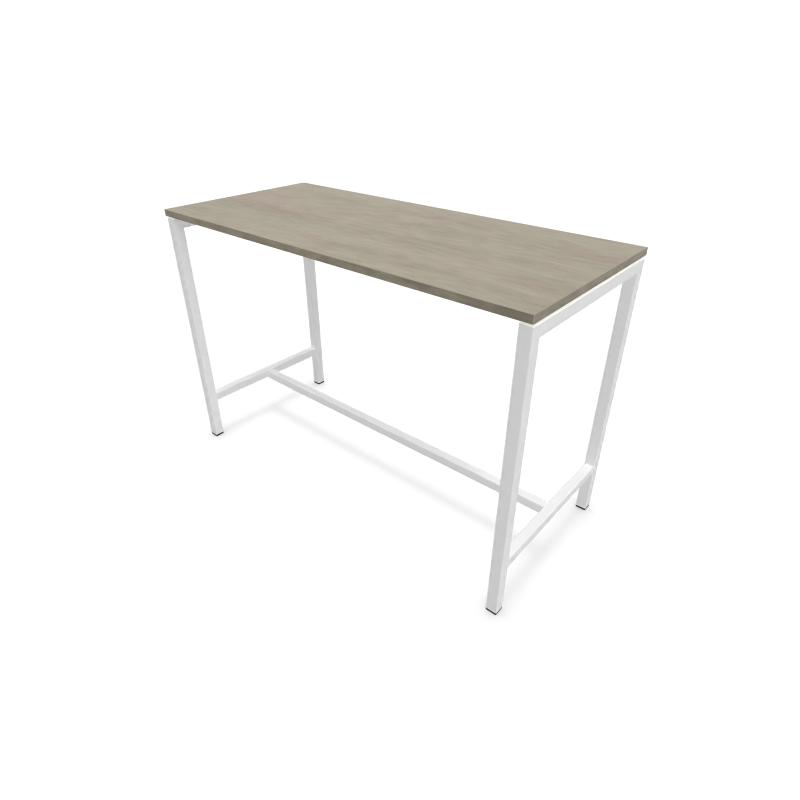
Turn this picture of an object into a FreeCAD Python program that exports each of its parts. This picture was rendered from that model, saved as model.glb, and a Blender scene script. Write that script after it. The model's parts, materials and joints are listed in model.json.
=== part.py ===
import FreeCAD, Part
import math
import os
import Sketcher
from FreeCAD import Placement, Rotation, Vector

# Standing meeting table: a rectangular laminated board on a bolted steel frame.
#
# Frame of reference: origin on the floor under the middle of the table,
# +X along the length, +Y towards the back, +Z up.  Millimetres.
#
# Two welded end frames (two legs, a mitred top rail and a low foot bar each)
# are tied together by two support rails hidden under the board and by one long
# foot bar.  The board stands on 8 mm spacers, so a shadow gap shows all round.

doc = FreeCAD.newDocument("StandingMeetingTable")

# ---------------------------------------------------------------------------
# Driving dimensions
# ---------------------------------------------------------------------------
sheet = doc.addObject("Spreadsheet::Sheet", "dims")

DIMS = [
    # board
    ("top_length", 1600), ("top_width", 706), ("table_height", 1050),
    ("board_thick", 25), ("laminate_thick", 0.8), ("band_thick", 2), ("band_arris", 1),
    # how the frame stands under the board
    ("top_gap", 8), ("end_inset", 0.5), ("side_inset", 5),
    # legs and end top rails: square tube
    ("tube_size", 40), ("tube_wall", 2), ("tube_round", 2.5), ("tube_bore_round", 0.5),
    ("mitre_round", 0.8),
    ("foot_height", 10.5),
    # foot bars: square tube
    ("bar_size", 35), ("bar_wall", 2), ("bar_round", 2.5), ("bar_level", 220),
    # support rails: rectangular tube on edge
    ("rail_width", 20), ("rail_height", 40), ("rail_wall", 2), ("rail_round", 2),
    ("rail_offset", 180), ("rail_end_gap", 0.5),
    # angle brackets between the support rails and the end rails
    ("bracket_long", 60), ("bracket_short", 50), ("bracket_height", 36), ("bracket_thick", 4),
    ("bracket_bend", 2), ("bracket_corner", 4),
    ("bracket_hole_long", 22), ("bracket_pitch_long", 22),
    ("bracket_hole_short", 20), ("bracket_pitch_short", 18),
    # M6 button-head screws and their flanged rivet nuts
    ("screw_shank", 5.9), ("screw_head", 10.5), ("screw_head_high", 3.3), ("screw_crown", 5.6),
    ("screw_socket", 4), ("screw_socket_deep", 2), ("screw_hole", 6.6),
    ("bracket_screw_long", 16), ("top_screw_long", 25), ("lock_screw_long", 10),
    ("nut_flange", 13), ("nut_flange_thick", 0.8), ("nut_body", 8.9), ("nut_hole", 9),
    ("nut_bulge", 11), ("nut_bulge_long", 3), ("nut_long", 12), ("nut_bore", 6.1),
    # board fixings
    ("spacer_round", 16), ("fixing_end_pitch", 230), ("fixing_rail_pitch", 500),
    ("access_hole", 12),
    ("insert_round", 9.8), ("insert_hole", 10), ("insert_long", 13), ("insert_deep", 16),
    ("insert_bore", 6.1), ("insert_lip", 0.4),
    # connection of the long foot bar
    ("spigot_size", 30.6), ("spigot_round", 1), ("spigot_long", 60), ("spigot_base", 15),
    ("spigot_recess", 15.6), ("spigot_recess_deep", 1.4), ("spigot_bore", 8.4),
    ("spigot_counterbore", 14), ("spigot_thread", 6.1), ("lock_from_end", 30),
    ("anchor_shank", 7.9), ("anchor_head", 13), ("anchor_head_high", 8), ("anchor_long", 25),
    ("anchor_socket", 6), ("anchor_socket_deep", 4),
    ("anchor_nut_flange", 15), ("anchor_nut_flange_thick", 1.2), ("anchor_nut_body", 10.9),
    ("anchor_nut_hole", 11), ("anchor_nut_bulge", 13.4), ("anchor_nut_bulge_long", 3),
    ("anchor_nut_long", 14), ("anchor_nut_bore", 8.1),
    # leg end caps
    ("cap_flange", 7.5), ("cap_plug", 35.6), ("cap_fin", 35.9), ("cap_wall", 2.2),
    ("cap_plug_high", 26), ("cap_boss", 22), ("cap_rib", 2.5),
    ("cap_recess", 29), ("cap_recess_deep", 1.6), ("cap_cavity", 17), ("cap_cavity_top", 13.8),
    ("cap_bore", 8.6), ("cap_nut_floor", 24.8),
    # levelling feet
    ("pad_round", 28), ("pad_thick", 3.2), ("pad_hub", 15.6), ("pad_hub_top", 8.4),
    ("ball_round", 8), ("ball_clear", 0.1), ("ball_level", 5.4), ("stem_neck", 5),
    ("stem_hex", 13), ("stem_hex_floor", 9.2), ("stem_hex_high", 4),
    ("stem_round", 7.9), ("stem_top", 48), ("stem_chamfer", 1),
    ("leveller_nut_width", 13), ("leveller_nut_high", 6.5), ("leveller_nut_bore", 8),
]
for row, (alias, value) in enumerate(DIMS, 1):
    sheet.set("A%d" % row, alias)
    sheet.set("B%d" % row, "%g" % value)
    sheet.setAlias("B%d" % row, alias)
doc.recompute()


class Size:
    """A length together with the sheet formula that drives it."""

    def __init__(self, value, text):
        self.value = float(value)
        self.text = text

    @staticmethod
    def of(thing):
        if isinstance(thing, Size):
            return thing
        return Size(thing, "%.9g" % thing if thing >= 0 else "(0 - %.9g)" % -thing)

    def __add__(self, other):
        other = Size.of(other)
        return Size(self.value + other.value, "(%s + %s)" % (self.text, other.text))

    __radd__ = __add__

    def __sub__(self, other):
        other = Size.of(other)
        return Size(self.value - other.value, "(%s - %s)" % (self.text, other.text))

    def __rsub__(self, other):
        return Size.of(other) - self

    def __mul__(self, other):
        other = Size.of(other)
        return Size(self.value * other.value, "(%s * %s)" % (self.text, other.text))

    __rmul__ = __mul__

    def __truediv__(self, other):
        other = Size.of(other)
        return Size(self.value / other.value, "(%s / %s)" % (self.text, other.text))

    def __neg__(self):
        return Size(-self.value, "(0 - %s)" % self.text)


class Sizes:
    pass


P = Sizes()
for alias, value in DIMS:
    setattr(P, alias, Size(sheet.get(alias), "dims.%s" % alias))

# Planes that most pieces share
X_FACE = P.top_length / 2 - P.end_inset          # outer faces of the end frames
Y_FACE = P.top_width / 2 - P.side_inset
X_TUBE = X_FACE - P.tube_size / 2                # centre lines of the legs
Y_TUBE = Y_FACE - P.tube_size / 2
X_IN = X_FACE - P.tube_size                      # inner faces of the end frames
Z_BOARD = P.table_height - P.board_thick         # underside of the board
Z_FRAME = Z_BOARD - P.top_gap                    # top of the frame
Z_RAIL = Z_FRAME - P.tube_size / 2               # middle of the end rails
Z_BAR = P.bar_level - P.bar_size / 2             # middle of the foot bars
X_BAR = X_TUBE - P.bar_size / 2                  # inner faces of the end foot bars
Z_CORE = Z_BOARD + P.laminate_thick
X_BRACKET = X_IN - P.nut_flange_thick            # bracket corner, at the front right
Y_BRACKET = P.rail_offset - P.rail_width / 2 - P.nut_flange_thick


# ---------------------------------------------------------------------------
# Modelling helpers
# ---------------------------------------------------------------------------
def bind(obj, prop, size):
    size = Size.of(size)
    obj.setExpression(prop, size.text)


def origin_item(body, role):
    return next(o for o in body.Origin.OriginFeatures if o.Role == role)


def new_body(label, x=0, y=0, z=0, turn=0):
    body = doc.addObject("PartDesign::Body", label)
    body.Label = label
    body.AllowCompound = True
    base = [Size.of(v) for v in (x, y, z)]
    body.Placement = Placement(Vector(*[v.value for v in base]), Rotation(Vector(0, 0, 1), turn))
    for axis, v in zip("xyz", base):
        bind(body, "Placement.Base." + axis, v)
    return body


def new_sketch(body, name, plane, offset=0):
    """Sketch on one of the body's origin planes, moved along its normal."""
    sk = body.newObject("Sketcher::SketchObject", name)
    sk.AttachmentSupport = [(origin_item(body, plane), "")]
    sk.MapMode = "FlatFace"
    offset = Size.of(offset)
    sk.AttachmentOffset = Placement(Vector(0, 0, offset.value), Rotation())
    if offset.value:
        bind(sk, "AttachmentOffset.Base.z", offset)
    return sk


def constrain(sk, name, size, *args):
    """A dimension of the sketch, bound to its formula."""
    size = Size.of(size)
    index = sk.addConstraint(Sketcher.Constraint(*args, size.value))
    unique = "%s%d" % (name, index)
    sk.renameConstraint(index, unique)
    sk.setExpression("Constraints." + unique, size.text)
    return index


def fix_point(sk, geo, pos, x, y):
    """Hold a sketch point at x, y from the sketch origin."""
    for kind, size, axis in (("DistanceX", Size.of(x), -2), ("DistanceY", Size.of(y), -1)):
        if abs(size.value) < 1e-9:
            sk.addConstraint(Sketcher.Constraint("PointOnObject", geo, pos, axis))
        elif size.value > 0:
            constrain(sk, "at", size, kind, -1, 1, geo, pos)
        else:
            constrain(sk, "at", -size, kind, geo, pos, -1, 1)


def v2(point):
    return Vector(Size.of(point[0]).value, Size.of(point[1]).value, 0)


def draw_polygon(sk, points):
    n = len(points)
    first = sk.GeometryCount
    for i in range(n):
        sk.addGeometry(Part.LineSegment(v2(points[i]), v2(points[(i + 1) % n])), False)
    for i in range(n):
        sk.addConstraint(Sketcher.Constraint("Coincident", first + i, 2, first + (i + 1) % n, 1))
    for i, (x, y) in enumerate(points):
        fix_point(sk, first + i, 1, x, y)


def draw_circle(sk, x, y, diameter):
    diameter = Size.of(diameter)
    geo = sk.addGeometry(Part.Circle(v2((x, y)), Vector(0, 0, 1), diameter.value / 2), False)
    constrain(sk, "round", diameter, "Diameter", geo)
    fix_point(sk, geo, 3, x, y)


def draw_hexagon(sk, x, y, across_flats):
    x, y, across_flats = Size.of(x), Size.of(y), Size.of(across_flats)
    corners = []
    for k in range(6):
        angle = math.radians(60 * k)
        corners.append((x + across_flats * (math.cos(angle) / math.sqrt(3)),
                        y + across_flats * (math.sin(angle) / math.sqrt(3))))
    draw_polygon(sk, corners)


def draw_rounded_rectangle(sk, width, depth, radius):
    """Rectangle centred on the sketch origin, with four equal corner arcs."""
    width, depth, radius = Size.of(width), Size.of(depth), Size.of(radius)
    w, d, r = width.value / 2, depth.value / 2, radius.value
    first = sk.GeometryCount
    lines = [(-w + r, -d, w - r, -d), (w, -d + r, w, d - r), (w - r, d, -w + r, d), (-w, d - r, -w, -d + r)]
    centres = [(w - r, -d + r, -90, 0), (w - r, d - r, 0, 90), (-w + r, d - r, 90, 180), (-w + r, -d + r, 180, 270)]
    for x1, y1, x2, y2 in lines:
        sk.addGeometry(Part.LineSegment(Vector(x1, y1, 0), Vector(x2, y2, 0)), False)
    for cx, cy, a1, a2 in centres:
        circle = Part.Circle(Vector(cx, cy, 0), Vector(0, 0, 1), r)
        sk.addGeometry(Part.ArcOfCircle(circle, math.radians(a1), math.radians(a2)), False)
    bottom, right, top, left = range(first, first + 4)
    arcs = list(range(first + 4, first + 8))
    for line, arc, following in zip((bottom, right, top, left), arcs, (right, top, left, bottom)):
        sk.addConstraint(Sketcher.Constraint("Tangent", line, 2, arc, 1))
        sk.addConstraint(Sketcher.Constraint("Tangent", arc, 2, following, 1))
    for line in (bottom, top):
        sk.addConstraint(Sketcher.Constraint("Horizontal", line))
    for line in (right, left):
        sk.addConstraint(Sketcher.Constraint("Vertical", line))
    for arc in arcs[1:]:
        sk.addConstraint(Sketcher.Constraint("Equal", arcs[0], arc))
    constrain(sk, "corner", radius, "Radius", arcs[0])
    constrain(sk, "width", width, "DistanceX", left, 1, right, 1)
    constrain(sk, "depth", depth, "DistanceY", bottom, 1, top, 1)
    sk.addConstraint(Sketcher.Constraint("Symmetric", arcs[0], 3, arcs[2], 3, -1, 1))


def pad(body, sk, length, symmetric=False, reverse=False):
    feature = body.newObject("PartDesign::Pad", sk.Label + "_pad")
    feature.Profile = sk
    length = Size.of(length)
    feature.Length = length.value
    bind(feature, "Length", length)
    if symmetric:
        # the sketch moves back by half, so that the long edges stay whole
        sk.AttachmentOffset = Placement(Vector(0, 0, -length.value / 2), Rotation())
        bind(sk, "AttachmentOffset.Base.z", -length / 2)
    feature.Reversed = reverse
    doc.recompute()
    return feature


def pocket(body, sk, depth=None, symmetric=False, reverse=False):
    """Cut along the sketch's negative normal, or its normal with reverse."""
    before = body.Shape.Volume
    feature = body.newObject("PartDesign::Pocket", sk.Label + "_cut")
    feature.Profile = sk
    if depth is None:
        feature.Type = "ThroughAll"
    else:
        depth = Size.of(depth)
        feature.Type = "Length"
        feature.Length = depth.value
        bind(feature, "Length", depth)
    if symmetric:
        feature.SideType = "Symmetric"
    feature.Reversed = reverse
    doc.recompute()
    if not body.Shape.Volume < before - 1e-3:
        raise RuntimeError("%s: %s cuts nothing" % (body.Label, feature.Label))
    return feature


def revolve(body, sk, axis):
    feature = body.newObject("PartDesign::Revolution", sk.Label + "_turn")
    feature.Profile = sk
    feature.ReferenceAxis = (sk, [axis])
    feature.Angle = 360
    doc.recompute()
    return feature


def fillet(body, radius, wanted, count):
    """Round the edges of the tip that the test picks by their middle point."""
    base = body.Tip
    names = []
    for index, edge in enumerate(base.Shape.Edges, 1):
        middle = edge.valueAt((edge.FirstParameter + edge.LastParameter) / 2)
        ends = [v.Point for v in edge.Vertexes]
        if wanted(middle, ends):
            names.append("Edge%d" % index)
    if len(names) != count:
        raise RuntimeError("%s: fillet found %d edges, not %d" % (body.Label, len(names), count))
    before = body.Shape.Volume
    feature = body.newObject("PartDesign::Fillet", body.Label + "_fillet")
    feature.Base = (base, names)
    radius = Size.of(radius)
    feature.Radius = radius.value
    bind(feature, "Radius", radius)
    doc.recompute()
    if abs(body.Shape.Volume - before) < 1e-4:
        raise RuntimeError("%s: fillet changes nothing" % body.Label)
    return feature


def repeat(body, originals, steps, count):
    """Copy features of a body. A step is ("mirror", plane) or ("row", axis, spacing, occurrences, reverse)."""
    multi = body.newObject("PartDesign::MultiTransform", body.Label + "_copies")
    multi.Originals = originals
    transformations = []
    for step in steps:
        if step[0] == "mirror":
            item = body.newObject("PartDesign::Mirrored", body.Label + "_mirror")
            item.MirrorPlane = (origin_item(body, step[1]), [""])
        else:
            item = body.newObject("PartDesign::LinearPattern", body.Label + "_row")
            item.Direction = (origin_item(body, step[1]), [""])
            span = Size.of(step[2]) * (step[3] - 1)
            item.Occurrences = step[3]
            item.Length = span.value
            bind(item, "Length", span)
            item.Reversed = step[4]
        transformations.append(item)
    multi.Transformations = transformations
    body.Tip = multi
    doc.recompute()
    if len(body.Shape.Solids) != count:
        raise RuntimeError("%s: %d solids, not %d" % (body.Label, len(body.Shape.Solids), count))
    return multi


def turned_piece(body, name, plane, offset, base, direction, axis_level, profile):
    """Solid of revolution drawn at its place in the body.

    plane and offset give the sketch plane; the axis runs along the sketch's x
    ("x") or y ("y") direction, signed by direction[1], from base, at axis_level
    in the other coordinate.  profile lists (along, radius) pairs.
    """
    sk = new_sketch(body, name, plane, offset)
    along_x, sign = direction[0] == "x", 1 if direction[1] > 0 else -1
    base, axis_level = Size.of(base), Size.of(axis_level)

    def place(along, radius):
        a = base + Size.of(along) * sign
        b = axis_level + radius
        return (a, b) if along_x else (b, a)

    draw_polygon(sk, [place(a, r) for a, r in profile])
    lowest = min(Size.of(a).value for a, r in profile)
    highest = max(Size.of(a).value for a, r in profile)
    p, q = place(lowest - 1, 0), place(highest + 1, 0)
    axis = sk.addGeometry(Part.LineSegment(v2(p), v2(q)), True)
    fix_point(sk, axis, 1, *p)
    fix_point(sk, axis, 2, *q)
    return revolve(body, sk, "Axis0")


def screw_profile(head, crown, head_high, shank, length):
    """Domed head below zero, shank above: (along, radius) pairs."""
    return [
        (-head_high, 0), (-head_high, crown / 2), (-head_high * 0.72, head * 0.42),
        (-head_high * 0.3, head * 0.49), (0, head / 2), (0, shank / 2),
        (length - 0.8, shank / 2), (length, shank / 2 - 0.8), (length, 0),
    ]


def rivet_nut_profile(flange, flange_thick, body_round, wall, bulge, bulge_long, length, bore):
    """Flange outside the tube wall, collar and threaded barrel behind it."""
    return [
        (-flange_thick, bore / 2), (-flange_thick, flange / 2), (0, flange / 2), (0, body_round / 2),
        (wall, body_round / 2), (wall, bulge / 2), (wall + bulge_long * 0.6, bulge / 2),
        (wall + bulge_long, body_round / 2), (length, body_round / 2), (length, bore / 2),
    ]


SIDES = {"left": -1, "right": 1}
DEPTHS = {"front": -1, "back": 1}

# The twelve places where the board is screwed down: three on each end rail,
# three on each support rail.
END_FIXINGS = [(X_TUBE * sx, P.fixing_end_pitch * k) for sx in (-1, 1) for k in (-1, 0, 1)]
RAIL_FIXINGS = [(P.fixing_rail_pitch * k, P.rail_offset * sy) for sy in (-1, 1) for k in (-1, 0, 1)]

nodes = []


# ---------------------------------------------------------------------------
# Board: particleboard core, laminate on both faces, plastic edge bands
# ---------------------------------------------------------------------------
def board_layer(label, level, thickness, hole, depth):
    body = new_body(label, 0, 0, level)
    sk = new_sketch(body, label + "_outline", "XY_Plane")
    half_x = P.top_length / 2 - P.band_thick
    half_y = P.top_width / 2 - P.band_thick
    draw_polygon(sk, [(-half_x, -half_y), (half_x, -half_y), (half_x, half_y), (-half_x, half_y)])
    pad(body, sk, thickness)
    if hole is not None:
        sk = new_sketch(body, label + "_holes", "XY_Plane")
        for x, y in END_FIXINGS + RAIL_FIXINGS:
            draw_circle(sk, x, y, hole)
        pocket(body, sk, depth, reverse=True)
    nodes.append(body)


board_layer("tabletop_core", Z_CORE, P.board_thick - P.laminate_thick * 2, P.insert_hole, P.insert_deep)
board_layer("top_laminate", P.table_height - P.laminate_thick, P.laminate_thick, None, None)
board_layer("underside_laminate", Z_BOARD, P.laminate_thick, P.insert_hole, None)


def long_edge_band(label, sy):
    """Runs the whole length and covers the ends of the short bands."""
    body = new_body(label, 0, P.top_width / 2 * sy, Z_BOARD)
    sk = new_sketch(body, label + "_section", "YZ_Plane")
    inner = P.band_thick * -sy
    draw_polygon(sk, [(0, 0), (inner, 0), (inner, P.board_thick), (0, P.board_thick)])
    pad(body, sk, P.top_length, symmetric=True)
    half, high = P.top_length.value / 2, P.board_thick.value

    def outer(middle, ends):
        on_face = all(abs(p.y) < 1e-6 for p in ends)
        on_end = abs(abs(middle.x) - half) < 1e-6
        level = all(abs(p.z) < 1e-6 for p in ends) or all(abs(p.z - high) < 1e-6 for p in ends)
        return on_face or (on_end and level)

    fillet(body, P.band_arris, outer, 8)
    nodes.append(body)


def short_edge_band(label, sx):
    body = new_body(label, P.top_length / 2 * sx, 0, Z_BOARD)
    sk = new_sketch(body, label + "_section", "XZ_Plane")
    inner = P.band_thick * -sx
    draw_polygon(sk, [(0, 0), (inner, 0), (inner, P.board_thick), (0, P.board_thick)])
    pad(body, sk, P.top_width - P.band_thick * 2, symmetric=True)
    high = P.board_thick.value

    def outer(middle, ends):
        level = all(abs(p.z) < 1e-6 for p in ends) or all(abs(p.z - high) < 1e-6 for p in ends)
        return all(abs(p.x) < 1e-6 for p in ends) and level

    fillet(body, P.band_arris, outer, 2)
    nodes.append(body)


for name, s in DEPTHS.items():
    long_edge_band("edge_band_" + name, s)
for name, s in SIDES.items():
    short_edge_band("edge_band_" + name, s)


# ---------------------------------------------------------------------------
# End frames
# ---------------------------------------------------------------------------
def hollow_section(sk, width, depth, wall, outer_round, inner_round):
    draw_rounded_rectangle(sk, width, depth, outer_round)
    draw_rounded_rectangle(sk, width - wall * 2, depth - wall * 2, inner_round)


def round_corner_cut(sk, corner, level, sy, radius):
    """The square corner outside an arc, seen along X: the ground weld corner."""
    radius, corner, level = Size.of(radius), Size.of(corner), Size.of(level)
    points = [
        ((corner - radius) * sy, level), ((corner - radius) * sy, level + 1),
        ((corner + 1) * sy, level + 1), ((corner + 1) * sy, level - radius), (corner * sy, level - radius),
    ]
    first = sk.GeometryCount
    for a, b in zip(points, points[1:]):
        sk.addGeometry(Part.LineSegment(v2(a), v2(b)), False)
    centre = v2(((corner - radius) * sy, level - radius))
    circle = Part.Circle(centre, Vector(0, 0, 1), radius.value)
    turn = (0, 90) if sy > 0 else (90, 180)
    arc = sk.addGeometry(Part.ArcOfCircle(circle, math.radians(turn[0]), math.radians(turn[1])), False)
    low, high = (1, 2) if sy > 0 else (2, 1)
    for i in range(3):
        sk.addConstraint(Sketcher.Constraint("Coincident", first + i, 2, first + i + 1, 1))
    sk.addConstraint(Sketcher.Constraint("Coincident", first + 3, 2, arc, low))
    sk.addConstraint(Sketcher.Constraint("Coincident", first, 1, arc, high))
    for i in range(4):
        fix_point(sk, first + i, 1, *points[i])
    fix_point(sk, first + 3, 2, *points[4])
    sk.addConstraint(Sketcher.Constraint("Vertical", first, 1, arc, 3))


def build_leg(label, sx, sy):
    body = new_body(label, X_TUBE * sx, Y_TUBE * sy, P.foot_height)
    high = Z_FRAME - P.foot_height
    sk = new_sketch(body, label + "_section", "XY_Plane")
    hollow_section(sk, P.tube_size, P.tube_size, P.tube_wall, P.tube_round, P.tube_bore_round)
    pad(body, sk, high)
    # mitre with the end rail: everything above a 45 degree plane that rises outwards
    sk = new_sketch(body, label + "_mitre", "YZ_Plane")
    far = P.tube_size / 2 + 1
    draw_polygon(sk, [(far * sy, high + 1), (far * -sy, high + 1), (far * -sy, high - P.tube_size - 1)])
    pocket(body, sk, symmetric=True)
    sk = new_sketch(body, label + "_corner", "YZ_Plane")
    round_corner_cut(sk, P.tube_size / 2, high, sy, P.mitre_round)
    pocket(body, sk, symmetric=True)
    nodes.append(body)


for depth_name, sy in DEPTHS.items():
    for side_name, sx in SIDES.items():
        build_leg("leg_%s_%s" % (depth_name, side_name), sx, sy)


def side_holes(body, label, places, hole, toward):
    """Holes in the wall of a tube that faces +X or -X; the body's axis is its origin."""
    sk = new_sketch(body, label, "YZ_Plane")
    for y, z in places:
        draw_circle(sk, y, z, hole)
    pocket(body, sk, reverse=toward > 0)


def build_end_rail(label, sx):
    body = new_body(label, X_TUBE * sx, 0, Z_RAIL)
    sk = new_sketch(body, label + "_section", "XZ_Plane")
    hollow_section(sk, P.tube_size, P.tube_size, P.tube_wall, P.tube_round, P.tube_bore_round)
    pad(body, sk, Y_FACE * 2, symmetric=True)
    half = P.tube_size / 2
    for number, sy in enumerate((-1, 1)):
        sk = new_sketch(body, "%s_mitre%d" % (label, number), "YZ_Plane")
        end = (Y_FACE + 1) * sy
        draw_polygon(sk, [(end, half + 1), (end, -half - 1), ((Y_FACE - P.tube_size - 1) * sy, -half - 1)])
        pocket(body, sk, symmetric=True)
        sk = new_sketch(body, "%s_corner%d" % (label, number), "YZ_Plane")
        round_corner_cut(sk, Y_FACE, half, sy, P.mitre_round)
        pocket(body, sk, symmetric=True)
    # screws through the top wall, reached through wider holes in the bottom wall
    sk = new_sketch(body, label + "_screw_holes", "XY_Plane")
    for k in (-1, 0, 1):
        draw_circle(sk, 0, P.fixing_end_pitch * k, P.screw_hole)
    pocket(body, sk, reverse=True)
    sk = new_sketch(body, label + "_access_holes", "XY_Plane")
    for k in (-1, 0, 1):
        draw_circle(sk, 0, P.fixing_end_pitch * k, P.access_hole)
    pocket(body, sk)
    # rivet nuts for the brackets, in the wall that faces the other end frame
    places = []
    for sy in (-1, 1):
        for k in (0, 1):
            y = Y_BRACKET - P.bracket_hole_short - P.bracket_pitch_short * k
            places.append((y * sy, 0))
    side_holes(body, label + "_nut_holes", places, P.nut_hole, -sx)
    nodes.append(body)


def build_end_foot_bar(label, sx):
    body = new_body(label, X_TUBE * sx, 0, Z_BAR)
    sk = new_sketch(body, label + "_section", "XZ_Plane")
    hollow_section(sk, P.bar_size, P.bar_size, P.bar_wall, P.bar_round, P.tube_bore_round)
    pad(body, sk, (Y_FACE - P.tube_size) * 2, symmetric=True)
    side_holes(body, label + "_anchor_hole", [(0, 0)], P.anchor_nut_hole, -sx)
    nodes.append(body)


for name, s in SIDES.items():
    build_end_rail("end_rail_" + name, s)
for name, s in SIDES.items():
    build_end_foot_bar("end_foot_bar_" + name, s)

# ---------------------------------------------------------------------------
# Long foot bar and its hidden connections
# ---------------------------------------------------------------------------
bar = new_body("long_foot_bar", 0, 0, Z_BAR)
sk = new_sketch(bar, "long_foot_bar_section", "YZ_Plane")
hollow_section(sk, P.bar_size, P.bar_size, P.bar_wall, P.bar_round, P.tube_bore_round)
pad(bar, sk, X_BAR * 2, symmetric=True)
sk = new_sketch(bar, "long_foot_bar_screw_holes", "XY_Plane")
for s in (-1, 1):
    draw_circle(sk, (X_BAR - P.lock_from_end) * s, 0, P.screw_hole)
pocket(bar, sk)
nodes.append(bar)


def build_spigot(label, sx):
    """Block bolted to the end foot bar; the long foot bar slides over it.

    Drawn with +X pointing from the end foot bar into the long bar.
    """
    body = new_body(label, X_BAR * sx, 0, Z_BAR, turn=180 if sx > 0 else 0)
    sk = new_sketch(body, label + "_section", "YZ_Plane")
    draw_rounded_rectangle(sk, P.spigot_size, P.spigot_size, P.spigot_round)
    pad(body, sk, P.spigot_long)
    sk = new_sketch(body, label + "_flange_recess", "YZ_Plane")
    draw_circle(sk, 0, 0, P.spigot_recess)
    pocket(body, sk, P.spigot_recess_deep, reverse=True)
    sk = new_sketch(body, label + "_bore", "YZ_Plane")
    draw_circle(sk, 0, 0, P.spigot_bore)
    pocket(body, sk, reverse=True)
    sk = new_sketch(body, label + "_counterbore", "YZ_Plane", P.spigot_base)
    draw_circle(sk, 0, 0, P.spigot_counterbore)
    pocket(body, sk, reverse=True)
    sk = new_sketch(body, label + "_thread", "XY_Plane")
    draw_circle(sk, P.lock_from_end, 0, P.spigot_thread)
    pocket(body, sk)
    nodes.append(body)


for name, s in SIDES.items():
    build_spigot("foot_bar_spigot_" + name, s)

# M8 cap screws that hold the spigots, heads in the counterbores
body = new_body("spigot_bolts")
seat = X_BAR - P.spigot_base
turn = turned_piece(body, "spigot_bolt_profile", "XZ_Plane", 0, seat, ("x", 1), Z_BAR, [
    (-P.anchor_head_high, 0), (-P.anchor_head_high, P.anchor_head / 2 - 0.6),
    (-P.anchor_head_high + 0.6, P.anchor_head / 2), (0, P.anchor_head / 2), (0, P.anchor_shank / 2),
    (P.anchor_long - 1, P.anchor_shank / 2), (P.anchor_long, P.anchor_shank / 2 - 1), (P.anchor_long, 0)])
sk = new_sketch(body, "spigot_bolt_socket", "YZ_Plane", seat - P.anchor_head_high)
draw_hexagon(sk, 0, Z_BAR, P.anchor_socket)
cut = pocket(body, sk, P.anchor_socket_deep, reverse=True)
repeat(body, [turn, cut], [("mirror", "YZ_Plane")], 2)
nodes.append(body)

body = new_body("spigot_rivet_nuts")
turn = turned_piece(body, "spigot_nut_profile", "XZ_Plane", 0, X_BAR, ("x", 1), Z_BAR, rivet_nut_profile(
    P.anchor_nut_flange, P.anchor_nut_flange_thick, P.anchor_nut_body, P.bar_wall,
    P.anchor_nut_bulge, P.anchor_nut_bulge_long, P.anchor_nut_long, P.anchor_nut_bore))
repeat(body, [turn], [("mirror", "YZ_Plane")], 2)
nodes.append(body)

# M6 button-head screws that lock the long bar from below
body = new_body("foot_bar_lock_screws")
under = P.bar_level - P.bar_size
x_lock = X_BAR - P.lock_from_end
turn = turned_piece(body, "lock_screw_profile", "XZ_Plane", 0, under, ("y", 1), x_lock, screw_profile(
    P.screw_head, P.screw_crown, P.screw_head_high, P.screw_shank, P.lock_screw_long))
sk = new_sketch(body, "lock_screw_socket", "XY_Plane", under - P.screw_head_high)
draw_hexagon(sk, x_lock, 0, P.screw_socket)
cut = pocket(body, sk, P.screw_socket_deep, reverse=True)
repeat(body, [turn, cut], [("mirror", "YZ_Plane")], 2)
nodes.append(body)


# ---------------------------------------------------------------------------
# Support rails and their brackets
# ---------------------------------------------------------------------------
def build_support_rail(label, sy):
    body = new_body(label, 0, P.rail_offset * sy, Z_RAIL)
    sk = new_sketch(body, label + "_section", "YZ_Plane")
    hollow_section(sk, P.rail_width, P.rail_height, P.rail_wall, P.rail_round, P.tube_bore_round)
    pad(body, sk, (X_IN - P.rail_end_gap) * 2, symmetric=True)
    sk = new_sketch(body, label + "_screw_holes", "XY_Plane")
    for k in (-1, 0, 1):
        draw_circle(sk, P.fixing_rail_pitch * k, 0, P.screw_hole)
    pocket(body, sk, reverse=True)
    sk = new_sketch(body, label + "_access_holes", "XY_Plane")
    for k in (-1, 0, 1):
        draw_circle(sk, P.fixing_rail_pitch * k, 0, P.access_hole)
    pocket(body, sk)
    # rivet nuts in the wall that faces the middle of the table
    sk = new_sketch(body, label + "_nut_holes", "XZ_Plane")
    for sx in (-1, 1):
        for k in (0, 1):
            x = X_BRACKET - P.bracket_hole_long - P.bracket_pitch_long * k
            draw_circle(sk, x * sx, 0, P.nut_hole)
    pocket(body, sk, reverse=sy > 0)
    nodes.append(body)


for name, s in DEPTHS.items():
    build_support_rail("support_rail_" + name, s)


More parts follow.
